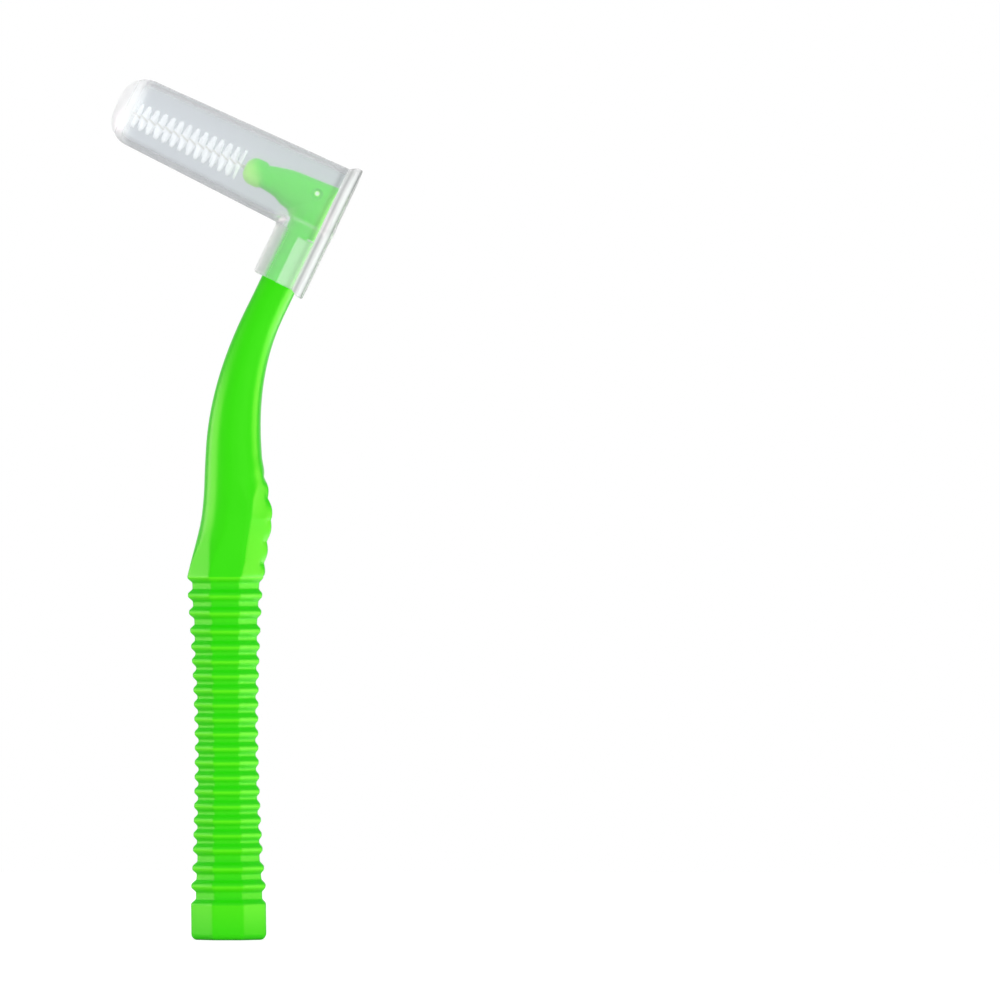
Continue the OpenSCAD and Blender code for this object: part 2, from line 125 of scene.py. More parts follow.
def white_surround():
    """World that is white to the eye and lights the brush softly and evenly. In reflections it is
    bright only behind the brush, and through the cap it is grey, as through milky plastic."""
    world = bpy.data.worlds.new("surround")
    world.use_nodes = True
    tree = world.node_tree
    tree.nodes.clear()
    path = add_node(tree, "LightPath")
    place = add_node(tree, "TexCoord")
    strength = DAYLIGHT
    # Strength all round and in one direction, for each kind of ray, and where it starts and ends
    # to change from one to the other
    for ray, all_round, ahead, low, high, towards in (
        ("Is Glossy Ray", 0.09, 0.85, 0.50, 0.97, (0, 1, 0)),
        ("Is Transmission Ray", 0.68, 0.54, 0.55, 0.95, (0, 0.97, 0.25)),
        ("Is Camera Ray", 1.0, 1.0, 0.0, 1.0, (0, 1, 0)),
    ):
        across = add_node(tree, "VectorMath", {1: towards}, operation="DOT_PRODUCT")
        backdrop = add_node(
            tree, "MapRange",
            {"From Min": low, "From Max": high, "To Min": all_round, "To Max": ahead})
        choose = add_node(tree, "Mix", data_type="FLOAT")
        tree.links.new(place.outputs["Generated"], across.inputs[0])
        tree.links.new(across.outputs["Value"], backdrop.inputs["Value"])
        tree.links.new(path.outputs[ray], choose.inputs[0])
        if isinstance(strength, float):
            choose.inputs[2].default_value = strength
        else:
            tree.links.new(strength, choose.inputs[2])
        tree.links.new(backdrop.outputs["Result"], choose.inputs[3])
        strength = choose.outputs[0]
    sky = add_node(tree, "Background", {"Color": (1, 1, 1, 1)})
    out = add_node(tree, "OutputWorld")
    tree.links.new(strength, sky.inputs["Strength"])
    tree.links.new(sky.outputs[0], out.inputs["Surface"])
    bpy.context.scene.world = world


white_surround()


FLOOR_R, FLOOR_GLOW = 0.35, 0.72
PAPER, PAPER_SEEN = (0.78, 0.78, 0.78), (0.45, 0.45, 0.45)


def white_floor():
    """Broad pale disc at z = 0. To the eye it glows, so that it shows white but still takes the
    shadow of the brush. In reflections and through the cap it is grey."""
    material = bpy.data.materials.new("floor_paper")
    material.use_nodes = True
    tree = material.node_tree
    shader = tree.nodes["Principled BSDF"]
    shader.inputs["Roughness"].default_value = 0.9
    shader.inputs["Specular IOR Level"].default_value = 0.0
    shader.inputs["Emission Color"].default_value = (1, 1, 1, 1)
    # Grey where it is seen, also in reflections and through the cap, and paler where it throws light
    path = add_node(tree, "LightPath")
    seen = path.outputs["Is Camera Ray"]
    for ray in ("Is Glossy Ray", "Is Transmission Ray"):
        either = add_node(tree, "Math", operation="MAXIMUM")
        tree.links.new(seen, either.inputs[0])
        tree.links.new(path.outputs[ray], either.inputs[1])
        seen = either.outputs[0]
    glow = add_node(tree, "MapRange", {"To Min": 0.0, "To Max": FLOOR_GLOW})
    tree.links.new(path.outputs["Is Camera Ray"], glow.inputs["Value"])
    tree.links.new(glow.outputs["Result"], shader.inputs["Emission Strength"])
    tree.links.new(blend_colours(tree, seen, PAPER, PAPER_SEEN), shader.inputs["Base Color"])
    bpy.ops.mesh.primitive_circle_add(vertices=96, radius=FLOOR_R, fill_type="NGON")
    floor = bpy.context.object
    floor.name = "floor"
    floor.data.materials.append(material)


white_floor()


# Handle: one moulding of glossy green polypropylene. An octagonal foot block, a ribbed grip with a
# slight waist, a smooth neck with a scalloped thumb rest, and a short arm that ends in a round bulb.

# Foot, and the ribbed grip above it
FOOT_W, FOOT_H, FOOT_ROUND = 8.67, 4.0, 0.7
GRIP_H, WAIST_W, WAIST_POWER, GRIP_SWEEP = 38.3, 7.45, 1.6, 0.37
# Grooves from the foot up: the height of each as a share of the usual one, their depth, with less at
# the right, and the shares of that height that are rounded crest and wall on each side
GROOVES = (1.36, 1.24, 1.30, *[1.0] * 14, 1.10, 1.25, 1.19, 1.30)
GROOVE_DEPTH, GROOVE_DEPTH_RIGHT, DEEPEST_GROOVE = 0.44, 0.34, 1.25
CREST_LAND, GROOVE_WALL = 0.06, 0.40
# How far the left and right sides of the grip stand out or in, at these heights
SIDE_Z = (0, 4, 6.3, 8.4, 10.5, 16, 30, 36, 40.1, 42.3)
SIDE_LEFT = (-0.02, -0.02, 0.05, 0, 0, 0, 0, 0.055, 0.08, 0)
SIDE_RIGHT = (0.05, 0.05, 0.145, 0.06, 0, -0.05, -0.09, -0.08, -0.03, 0)
# Painted highlight just under each crest, in shares of the groove's height: how far under it, how
# broad, and where the painted shade further down ends
HIGHLIGHT_DROP, HIGHLIGHT_RUN, SHADE_END = 0.09, 0.25, 0.3
# Neck, which sweeps forward and then bends back into the stem
SHOULDER_W, NECK_RISE, NECK_SWEEP, SWEEP_SHARE = 8.82, 14.8, 0.96, 0.74
NECK_W, NECK_D, FLARE_LEN, FLARE_POWER = 6.9, 6.3, 7.4, 1.7
TAPER_START, TAPER_LEN, BEND_R, HEAD_LEAN = 8.8, 23.9, 36.7, math.radians(25.7)
STEM_LEN, STEM_W, STEM_D = 14.3, 4.34, 4.4
# Thumb rest, with notches along its edge only
THUMB_LEN, THUMB_RISE, THUMB_PEAK, THUMB_POWER = 14.15, 1.5, 0.48, (0.6, 1.4)
SCALLOP_PITCH, SCALLOP_DEPTH, NOTCH_SHARE, NOTCH_REACH = 2.52, 0.28, 0.6, (0.8, 0.12)
# Octagon that fades out up the neck: where its left and right corners start and end to fade, as shares
# of the thumb rest's length, and how many degrees its right-hand facets turn at these distances
CORNER = 1 / math.cos(math.pi / 8)
FADE_LEFT, FADE_RIGHT = (0.0, 0.42), (0.62, 0.82)
FACET_TURN = ((0, 1.5, 4, 6.5, 9, 10.2, 11.5, 17), (0, 3.5, 3.5, 3.2, 8, 12, 15, 0))
# Rounded sections of the neck: powers from an ellipse towards a square, and where each comes in
ELLIPSE, RIGHT_FULL, STEM_FULL = 2.0, 2.7, 2.4
RIGHT_FULL_RUN, STEM_FULL_RUN = (9.5, 3.5), (22, 16)
# Arm and bulb. Each row of the elbow is the inner and the outer end of a section, as shares of the
# arm's length and of its drop or rise, and its share of the depth. The mould mark is placed in shares
# of the arm's length, its rise and half its depth.
REAR_GAP, ARM_LEN, HEAD_RISE, HEAD_DROP = 1.0, 9.3, 2.5, 4.2
ELBOW = (
    (0.478, -0.81, 0, -0.86, 1), (0.5, -0.66, 0, 0.08, 1), (0.54, -0.57, 0, 0.8, 0.98),
    (0.57, -0.54, 0.04, 0.99, 0.97), (0.66, -0.495, 0.32, 0.94, 0.92),
    (0.75, -0.4, 0.66, 0.85, 0.84), (0.88, -0.35, 0.88, 0.66, 0.76), (1, -0.33, 1, 0.53, 0.7),
)
BULB_R, BULB_LEN, BULB_LAP, BULB_POLE_R = 1.62, 2.9, 0.6, 0.05
BULB_ROUND, BULB_BACK_ROUND = BULB_R * 0.8, BULB_R * 0.6
SOCKET_R, SOCKET_LEN, SOCKET_OVERRUN = 0.27, 5.02, 0.5
MARK_D, MARK_DEPTH, MARK_SHARE = 1.0, 0.22, (0.285, 0.33, 0.8)
# Rings of the skin along the foot's round edge, each groove, the thumb rest, the neck above it, and
# between two rows of the elbow
FOOT_RINGS, GROOVE_RINGS, THUMB_RINGS, NECK_RINGS, ELBOW_RINGS = 8, 20, 96, 48, 7

shoulder_z = FOOT_H + GRIP_H
bend_x = NECK_SWEEP - GRIP_SWEEP
bend_len = BEND_R * HEAD_LEAN
neck_len = NECK_RISE + bend_len + STEM_LEN
bulb_end = REAR_GAP + ARM_LEN - BULB_LAP + BULB_LEN


def mix(a, b, t):
    return a + (b - a) * t


def ease(t):
    """Smooth rise from 0 to 1 as t goes from 0 to 1, and level outside that."""
    t = min(1, max(0, t))
    return t * t * (3 - 2 * t)


def ease_array(t):
    """The same for many values at once."""
    t = np.clip(t, 0, 1)
    return t * t * (3 - 2 * t)


def neck_centre(s):
    """Centre line of the neck at distance s from the shoulder: x, z and lean."""
    if s <= NECK_RISE:
        return mix(-GRIP_SWEEP, bend_x, ease(s / (NECK_RISE * SWEEP_SHARE))), shoulder_z + s, 0
    a = min((s - NECK_RISE) / BEND_R, HEAD_LEAN)
    d = max(0, s - NECK_RISE - bend_len)
    x = bend_x + BEND_R * (1 - math.cos(a)) + d * math.sin(a)
    return x, shoulder_z + NECK_RISE + BEND_R * math.sin(a) + d * math.cos(a), a


stem_top = neck_centre(neck_len)
stem_mid_p = REAR_GAP + STEM_W / 2
head_x = stem_top[0] + stem_mid_p * math.cos(HEAD_LEAN)
head_z = stem_top[1] - stem_mid_p * math.sin(HEAD_LEAN)
HEAD_AXES = np.array([
    [math.sin(HEAD_LEAN), 0, math.cos(HEAD_LEAN)],
    [0, 1, 0],
    [-math.cos(HEAD_LEAN), 0, math.sin(HEAD_LEAN)],
])


def from_head(points):
    """Points as q up the stem, y, and p out along the brush, taken into the frame of the part."""
    return np.asarray(points, float) @ HEAD_AXES + (head_x, 0, head_z)


# Angles round a section, closer together towards the corners of the octagon
FACET_POINTS, CORNER_CROWDING = 14, 1.7
SECTOR = np.linspace(-1, 1, FACET_POINTS, endpoint=False)
SECTOR = math.pi / 8 * np.sign(SECTOR) * (1 - (1 - abs(SECTOR)) ** CORNER_CROWDING)
AROUND = np.concatenate([SECTOR + k * math.pi / 4 for k in range(8)])
AROUND = (AROUND + math.pi) % (2 * math.pi) - math.pi


def section(left, right, depth, corner_left, corner_right, turn=0.0, full=(ELLIPSE, ELLIPSE)):
    """Section of the skin: an octagon whose corners, from 1 to 0, give way to an ellipse, with the
    two facets at the right turned by an angle, and each side filled out by a power."""
    knots = np.radians([0, 22.5, 67.5, 90, 180])
    shift = np.array([0, turn / 2, turn / 2, 0, 0])
    turned = np.interp(abs(AROUND), knots, knots - shift) * np.sign(AROUND)
    facet = math.pi / 4 - turn
    flats = [0, math.pi, math.pi / 2, -math.pi / 2, 3 * math.pi / 4, -3 * math.pi / 4, facet, -facet]
    hardness = 90
    r = sum(np.maximum(0, np.cos(turned - f)) ** hardness for f in flats) ** (-1 / hardness)
    side = ease_array((np.cos(turned) + 0.25) / 0.5)
    limit = 1 + (CORNER - 1) * mix(corner_left, corner_right, side)
    # Corners that reach past the limit are cut off there, with a soft bend
    softness = 220
    rise = math.log(2) / softness * (r > limit)
    r = limit - np.log1p(np.exp((limit - r) * softness)) / softness + rise
    r = np.minimum(r, limit)
    power = np.where(np.cos(turned) < 0, *full)
    r = r * (abs(np.cos(turned)) ** power + abs(np.sin(turned)) ** power) ** (-1 / power)
    return np.stack([
        r * np.cos(turned) * np.where(np.cos(turned) < 0, left, right),
        r * np.sin(turned) * depth,
    ], 1)


def stand(flat, x, z, lean):
    """Places a section in the part, square to the centre line there."""
    return np.stack(
        [x + flat[:, 0] * math.cos(lean), flat[:, 1], z - flat[:, 0] * math.sin(lean)], 1)


def grip_rings():
    """Rings of the foot and grip's skin, and the painted tone of each: -1 highlight, 0 plain, 1 shade.
    """
    rings, shade = [], []
    # Flat underside and rounded lower edge of the foot
    for t in np.linspace(0, 1, FOOT_RINGS):
        a = t * math.pi / 2
        half = FOOT_W / 2 - FOOT_ROUND * (1 - math.sin(a))
        flat = section(half + SIDE_LEFT[0], half + SIDE_RIGHT[0], half, 1, 1)
        rings.append(stand(flat, 0, FOOT_ROUND * (1 - math.cos(a)), 0))
        shade.append(0)
    unit = GRIP_H / sum(GROOVES)
    crests = FOOT_H + unit * np.concatenate([[0], np.cumsum(GROOVES)])
    for i, share in enumerate(GROOVES):
        for t in np.linspace(0, 1, GROOVE_RINGS, endpoint=False):
            z = mix(crests[i], crests[i + 1], t)
            waist = abs(2 * (z - FOOT_H) / GRIP_H - 1) ** WAIST_POWER
            end_w = FOOT_W if z < FOOT_H + GRIP_H / 2 else SHOULDER_W
            half = mix(WAIST_W, end_w, waist) / 2
            # A wide groove has walls as long as the others', and a longer floor
            down_wall = (min(t, 1 - t) - CREST_LAND) / GROOVE_WALL * share
            cut = ease(down_wall) * min(share, DEEPEST_GROOVE)
            flat = section(
                half + np.interp(z, SIDE_Z, SIDE_LEFT) - cut * GROOVE_DEPTH,
                half + np.interp(z, SIDE_Z, SIDE_RIGHT) - cut * GROOVE_DEPTH_RIGHT,
                half - cut * GROOVE_DEPTH, 1, 1)
            rings.append(stand(flat, -GRIP_SWEEP * z / shoulder_z, z, 0))
            # Painted highlight just under a crest, and painted shade on the wall below the floor
            from_highlight = (t + HIGHLIGHT_DROP) % 1
            painted_shade = 1 - ease((t - SHADE_END) / HIGHLIGHT_RUN)
            shade.append(mix(-1, painted_shade, ease(min(from_highlight, 1 - from_highlight) / HIGHLIGHT_RUN)))
    return rings, shade


def along_neck(s, shoulder, middle, stem):
    """Half of a width or depth of the neck at distance s, from its size at three places."""
    if s < TAPER_START:
        return mix(middle, shoulder, (1 - min(1, s / FLARE_LEN)) ** FLARE_POWER) / 2
    return mix(middle, stem, ease((s - TAPER_START) / TAPER_LEN)) / 2


def thumb_bulge(s):
    """How far the thumb rest stands out to the right of the neck at distance s."""
    peak = THUMB_LEN * THUMB_PEAK
    if s <= 0 or s >= THUMB_LEN:
        return 0
    if s < peak:
        return THUMB_RISE * (s / peak) ** THUMB_POWER[0]
    return THUMB_RISE * ((THUMB_LEN - s) / (THUMB_LEN - peak)) ** THUMB_POWER[1]


def corner_share(s, fade):
    """How much of the octagon's corners is there at distance s, from 1 to 0."""
    return 1 - ease((s / THUMB_LEN - fade[0]) / (fade[1] - fade[0]))


def neck_rings():
    """Rings of the skin from the shoulder to the end of the straight stem."""
    rings = []
    up_thumb = np.linspace(0, THUMB_LEN, THUMB_RINGS)
    up_stem = np.linspace(THUMB_LEN, neck_len - HEAD_DROP, NECK_RINGS)
    for s in [*up_thumb, *up_stem[1:]]:
        x, z, lean = neck_centre(s)
        half = along_neck(s, SHOULDER_W, NECK_W, STEM_W)
        depth = along_neck(s, SHOULDER_W, NECK_D, STEM_D)
        bulge = thumb_bulge(s)
        notch = min(SCALLOP_DEPTH, NOTCH_SHARE * bulge)
        notch *= 1 - abs(math.sin(math.pi * (THUMB_LEN - s) / SCALLOP_PITCH))
        into_right = ease((s - RIGHT_FULL_RUN[0]) / RIGHT_FULL_RUN[1])
        into_stem = ease((s - STEM_FULL_RUN[0]) / STEM_FULL_RUN[1])
        flat = section(
            half, half + bulge, depth,
            corner_share(s, FADE_LEFT), corner_share(s, FADE_RIGHT),
            math.radians(np.interp(s, *FACET_TURN)),
            (mix(ELLIPSE, STEM_FULL, into_stem),
             mix(mix(ELLIPSE, RIGHT_FULL, into_right), STEM_FULL, into_stem)),
        )
        # The notches cut only the edge of the thumb rest, not its side facets
        flat[:, 0] -= notch * ease_array((np.cos(AROUND) - NOTCH_REACH[0]) / NOTCH_REACH[1])
        rings.append(stand(flat, x, z, lean))
    return rings


def smooth_rows(rows, steps):
    """Rows in between the given ones, on a smooth curve through each column."""
    rows = np.asarray(rows, float)
    padded = np.concatenate([[2 * rows[0] - rows[1]], rows, [2 * rows[-1] - rows[-2]]])
    out = []
    for i in range(1, len(padded) - 2):
        a, b, c, d = padded[i - 1:i + 3]
        for t in np.linspace(0, 1, steps, endpoint=False):
            out.append(0.5 * (2 * b + (c - a) * t + (2 * a - 5 * b + 4 * c - d) * t ** 2
                              + (3 * b - a - 3 * c + d) * t ** 3))
    return [*out, rows[-1]]


def elbow_rings():
    """Turn of the stem into the arm: sections that swing round from the stem to the bulb."""
    front_p, back_p = REAR_GAP + STEM_W, REAR_GAP
    # The first row only gives the curve its direction
    rows = [(front_p, q, back_p, q, 1) for q in (-HEAD_DROP - 1.2, -HEAD_DROP)]
    for inner_p, inner_q, outer_p, outer_q, depth in ELBOW:
        rows.append((REAR_GAP + inner_p * ARM_LEN, inner_q * HEAD_DROP,
                     REAR_GAP + outer_p * ARM_LEN, outer_q * HEAD_RISE, depth))
    rings = []
    for row in smooth_rows(rows, ELBOW_RINGS)[ELBOW_RINGS + 1:]:
        inner, outer = from_head([[row[1], 0, row[0]], [row[3], 0, row[2]]])
        across = outer - inner
        half = np.linalg.norm(across) / 2
        flat = section(half, half, row[4] * STEM_D / 2, 0, 0, full=(STEM_FULL, STEM_FULL))
        middle = (inner + outer) / 2
        rings.append(stand(flat, middle[0], middle[2], math.atan2(-across[2], across[0])))
    return rings


def skin(name, rings):
    """Closed smooth mesh through equal rings of points given in millimetres."""
    rings = np.asarray(rings, float) * MM
    n, m = rings.shape[:2]
    i, k = np.meshgrid(np.arange(n - 1), np.arange(m), indexing="ij")
    quads = np.stack([i * m + k, i * m + (k + 1) % m, (i + 1) * m + (k + 1) % m, (i + 1) * m + k], -1)
    faces = quads.reshape(-1, 4).tolist()
    faces += [list(range(m))[::-1], list(range((n - 1) * m, n * m))]
    mesh = bpy.data.meshes.new(name)
    mesh.from_pydata(rings.reshape(-1, 3).tolist(), [], faces)
    mesh.shade_smooth()
    piece = bpy.data.objects.new(name, mesh)
    bpy.context.scene.collection.objects.link(piece)
    return piece


def paint(mesh, name, values):
    """Keeps a value at each corner of a mesh, for its material to read."""
    mesh.attributes.new(name, "FLOAT", "POINT").data.foreach_set("value", values.astype(np.float32))


def lathe(name, profile, around=64):
    """Closed turned piece about the axis of the brush from (radius, p) points."""
    turn = np.linspace(0, 2 * math.pi, around, endpoint=False)
    rings = [
        from_head(np.stack([r * np.cos(turn), r * np.sin(turn), np.full(around, p)], 1))
        for r, p in profile
    ]
    return skin(name, rings)


def combine(piece, tool, operation):
    """Joins another piece to this one, or cuts it out, and deletes it."""
    change = piece.modifiers.new(operation.lower(), "BOOLEAN")
    change.operation = operation
    change.solver = "EXACT"
    change.object = tool
    shown = bpy.context.evaluated_depsgraph_get()
    mesh = bpy.data.meshes.new_from_object(piece.evaluated_get(shown))
    piece.modifiers.clear()
    piece.data = mesh
    bpy.data.objects.remove(tool)


def arc(centre, r, start, end, steps=10):
    """Points of a round edge in a profile, from one angle to another in degrees."""
    turn = np.radians(np.linspace(start, end, steps + 1))
    return [(centre[0] + r * math.cos(a), centre[1] + r * math.sin(a)) for a in turn]


lower_rings, lower_shade = grip_rings()
upper_rings = neck_rings() + elbow_rings()
handle = skin("handle_moulding", lower_rings + upper_rings)
# Painted tone of each ring of the grip: painted highlight, plain or painted shade
paint(handle.data, "groove", np.repeat(lower_shade + [0] * len(upper_rings), len(AROUND)))
bulb_rear = bulb_end - BULB_LEN
bulb = lathe("bulb", [
    (BULB_POLE_R, bulb_rear),
    *arc((BULB_R - BULB_BACK_ROUND, bulb_rear + BULB_BACK_ROUND), BULB_BACK_ROUND, -90, 0),
    *arc((BULB_R - BULB_ROUND, bulb_end - BULB_ROUND), BULB_ROUND, 0, 90, 16),
    (BULB_POLE_R, bulb_end),
])
combine(handle, bulb, "UNION")
socket = lathe(
    "socket", [(SOCKET_R, bulb_end - SOCKET_LEN), (SOCKET_R, bulb_end + SOCKET_OVERRUN)], 24)
combine(handle, socket, "DIFFERENCE")
# Round mark of the mould's pin: a shallow hollow in the near side of the arm
mark_r = (MARK_D ** 2 / 4 + MARK_DEPTH ** 2) / (2 * MARK_DEPTH)
mark_place = (
    MARK_SHARE[1] * HEAD_RISE,
    MARK_DEPTH - mark_r - STEM_D / 2 * MARK_SHARE[2],
    REAR_GAP + MARK_SHARE[0] * ARM_LEN,
)
bpy.ops.mesh.primitive_uv_sphere_add(
    segments=64, ring_count=48, radius=mark_r * MM, location=from_head(mark_place) * MM)
mark = bpy.context.object
mark.data.transform(mark.matrix_world)
mark.matrix_world.identity()
combine(handle, mark, "DIFFERENCE")
handle.data.shade_smooth()
handle.data.set_sharp_from_angle(angle=math.radians(40))

# Painted light on the moulding at the head: 1 towards the front and underside of the bulb round its
# socket, a little at the rear of the arm, and 2 on the floor of the mark, for a painted glint
BULB_PAINTED_LIGHT_RUN, BULB_PAINTED_LIGHT_SLANT = 0.8, 0.9
REAR_PAINTED_LIGHT, REAR_PAINTED_LIGHT_P, REAR_PAINTED_LIGHT_Q = 0.15, 2.9, (-5, 2)
MARK_GLINT, MARK_GLINT_R = 1.6, MARK_D * 0.25


def to_head(mesh):
    """Corners of a mesh in millimetres in the frame of the head: q, y and p."""
    at = np.empty(len(mesh.vertices) * 3, np.float32)
    mesh.vertices.foreach_get("co", at)
    return (at.reshape(-1, 3).astype(float) / MM - (head_x, 0, head_z)) @ HEAD_AXES.T


q, y, p = to_head(handle.data).T
past_arm = p - bulb_rear
bulb_painted_light = ease_array(past_arm / BULB_PAINTED_LIGHT_RUN)
bulb_painted_light = bulb_painted_light * ease_array((past_arm - q * BULB_PAINTED_LIGHT_SLANT) / BULB_LEN)
rear_painted_light = ease_array(REAR_PAINTED_LIGHT_P - p) * ease_array((q - REAR_PAINTED_LIGHT_Q[0]) / REAR_PAINTED_LIGHT_Q[1])
from_mark = np.hypot(q - mark_place[0], p - mark_place[2])
mark_glint = ease_array(MARK_GLINT - from_mark / MARK_GLINT_R) * (y < 0)
# Keeps the painted light and the mark's painted glint for the material
paint(handle.data, "thin", np.maximum.reduce([bulb_painted_light, REAR_PAINTED_LIGHT * rear_painted_light, 2 * mark_glint]))


def new_socket(group, name, direction, value=0.0):
    """Number that a node group takes in or puts out."""
    made = group.interface.new_socket(
        name=name, in_out=direction, socket_type="NodeSocketFloat")
    made.default_value = value


def moulded_surface():
    """Fine marks of a moulded plastic surface: clouding, hairline scratches and mould grain."""
    group = bpy.data.node_groups.new("moulded_surface", "ShaderNodeTree")
    new_socket(group, "Cloud Scale", "INPUT", value=260.0)
    new_socket(group, "Grain Scale", "INPUT", value=5200.0)
    new_socket(group, "Cloud", "OUTPUT")
    new_socket(group, "Scratches", "OUTPUT")
    new_socket(group, "Grain", "OUTPUT")
    enter = group.nodes.new("NodeGroupInput")
    leave = group.nodes.new("NodeGroupOutput")
    place = add_node(group, "TexCoord")
    cloud = add_node(group, "TexNoise", {"Detail": 4.0, "Roughness": 0.55})
    grain = add_node(group, "TexNoise", {"Detail": 2.0, "Roughness": 0.5})
    stretch = add_node(group, "Mapping", {"Scale": (2600, 2600, 160), "Rotation": (0.35, 0.6, 0.2)})
    lines = add_node(group, "TexNoise", {"Scale": 1.0, "Detail": 1.0})
    scratch = add_node(group, "MapRange", {"From Min": 0.70, "From Max": 0.80})
    for texture in (cloud, grain, stretch):
        group.links.new(place.outputs["Object"], texture.inputs["Vector"])
    group.links.new(enter.outputs["Cloud Scale"], cloud.inputs["Scale"])
    group.links.new(enter.outputs["Grain Scale"], grain.inputs["Scale"])
    group.links.new(stretch.outputs["Vector"], lines.inputs["Vector"])
    group.links.new(lines.outputs["Fac"], scratch.inputs["Value"])
    group.links.new(cloud.outputs["Fac"], leave.inputs["Cloud"])
    group.links.new(scratch.outputs["Result"], leave.inputs["Scratches"])
    group.links.new(grain.outputs["Fac"], leave.inputs["Grain"])
    return group


surface_group = moulded_surface()


def new_material(name, **values):
    """Material with one Principled shader and its plain values."""
    material = bpy.data.materials.new(name)
    material.use_nodes = True
    shader = material.node_tree.nodes["Principled BSDF"]
    for key, value in values.items():
        shader.inputs[key.replace("_", " ").title().replace("Ior", "IOR")].default_value = value
    return material, material.node_tree, shader


# Greens of the plain plastic and its clouds, painted shade in the grooves, painted highlight on the
# crests, painted light at the head, and the painted glint in the mark
GREEN = (0.026, 0.74, 0.0)
GREEN_CLOUD = (0.033, 0.78, 0.001)
GREEN_GROOVE_SHADE = (0.016, 0.70, 0.0)
GREEN_CREST_HIGHLIGHT = (0.10, 0.91, 0.003)
GREEN_PAINTED_LIGHT = (0.43, 1.0, 0.18)
GLINT = (0.95, 1.0, 0.92)
RIB_ROUGHNESS, NECK_ROUGHNESS, RIBS_FADE = 0.43, (0.31, 0.34), 0.4


def green_plastic():
    material, tree, shader = new_material(
        "green_plastic", ior=1.49, specular_tint=(1.0, 0.9, 0.42, 1))
    marks = add_node(tree, "Group", node_tree=surface_group)
    # Painted highlight on the crests and painted shade in the grooves, from the grip's painted tone
    groove = add_node(tree, "Attribute", attribute_name="groove")
    crest = add_node(tree, "MapRange", {"From Min": 0.0, "From Max": -1.0})
    painted_shade = add_node(tree, "MapRange", {"From Min": 0.0, "From Max": 1.0})
    # Painted light at the head, and the painted glint in the mark
    thin = add_node(tree, "Attribute", attribute_name="thin")
    pale = add_node(tree, "MapRange", {"From Min": 0.0, "From Max": 1.0})
    glint = add_node(tree, "MapRange", {"From Min": 1.0, "From Max": 2.0})
    for measure, share in ((groove, crest), (groove, painted_shade), (thin, pale), (thin, glint)):
        tree.links.new(measure.outputs["Fac"], share.inputs["Value"])
    colour = blend_colours(tree, marks.outputs["Cloud"], GREEN, GREEN_CLOUD)
    colour = blend_colours(tree, crest.outputs["Result"], colour, GREEN_CREST_HIGHLIGHT)
    colour = blend_colours(tree, painted_shade.outputs["Result"], colour, GREEN_GROOVE_SHADE)
    colour = blend_colours(tree, pale.outputs["Result"], colour, GREEN_PAINTED_LIGHT)
    colour = blend_colours(tree, glint.outputs["Result"], colour, GLINT)
    gloss = add_node(
        tree, "MapRange", {"To Min": NECK_ROUGHNESS[0], "To Max": NECK_ROUGHNESS[1]})
    bump = add_node(tree, "Bump", {"Strength": 0.05, "Distance": 0.00002})
    # The ribs are a little duller than the smooth neck
    place = add_node(tree, "TexCoord")
    height = add_node(tree, "SeparateXYZ")
    above_ribs = add_node(
        tree, "MapRange",
        {"From Min": (shoulder_z - RIBS_FADE) * MM, "From Max": shoulder_z * MM})
    rough = add_node(tree, "Mix", {2: RIB_ROUGHNESS}, data_type="FLOAT")
    tree.links.new(place.outputs["Object"], height.inputs["Vector"])
    tree.links.new(height.outputs["Z"], above_ribs.inputs["Value"])
    tree.links.new(above_ribs.outputs["Result"], rough.inputs[0])
    tree.links.new(marks.outputs["Scratches"], gloss.inputs["Value"])
    tree.links.new(gloss.outputs["Result"], rough.inputs[3])
    tree.links.new(marks.outputs["Grain"], bump.inputs["Height"])
    tree.links.new(colour, shader.inputs["Base Color"])
    tree.links.new(rough.outputs[0], shader.inputs["Roughness"])
    tree.links.new(bump.outputs["Normal"], shader.inputs["Normal"])
    return material


handle.data.materials.clear()
handle.data.materials.append(green_plastic())
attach(handle, "brush")
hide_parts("handle")


# Brush wire: one fine stainless wire, folded in half over the filaments and twisted, with its loop
# at the tip and its cut ends moulded into the arm.

WIRE_D, TWIST_PITCH, ANCHOR_LEN, BARE_LEN, TIP_LEN = 0.2, 2.07, 5.0, 0.55, 0.2
BRUSH_LEN = 13.8
# The two legs stand off the axis by half the layer of filaments between them and a clearance
LAYER_T, WIRE_CLEAR = 0.07, 0.02
LEG_R = LAYER_T / 2 + WIRE_CLEAR + WIRE_D / 2
LEG_POINTS, LOOP_POINTS, WIRE_SIDES = 230, 14, 12

brush_start = bulb_end + BARE_LEN
brush_end = brush_start + BRUSH_LEN
wire_start = bulb_end - ANCHOR_LEN
wire_end = brush_end + TIP_LEN


def twist(p):
    """Angle of the filaments about the brush at distance p."""
    return 2 * math.pi * (p - brush_start) / TWIST_PITCH


def wire_path():
    """Centre line of the wire: up one leg, round the loop at the tip and back down the other."""
    up = np.linspace(wire_start, wire_end, LEG_POINTS)
    turn = twist(up) + math.pi / 2
    leg = np.stack([LEG_R * np.cos(turn), LEG_R * np.sin(turn), up], 1)
    over = np.linspace(0, math.pi, LOOP_POINTS)[1:-1]
    end = twist(wire_end) + math.pi / 2
    loop = np.stack([
        LEG_R * np.cos(over) * math.cos(end),
        LEG_R * np.cos(over) * math.sin(end),
        wire_end + LEG_R * np.sin(over),
    ], 1)
    back = leg[::-1] * (-1, -1, 1)
    return np.concatenate([leg, loop, back])


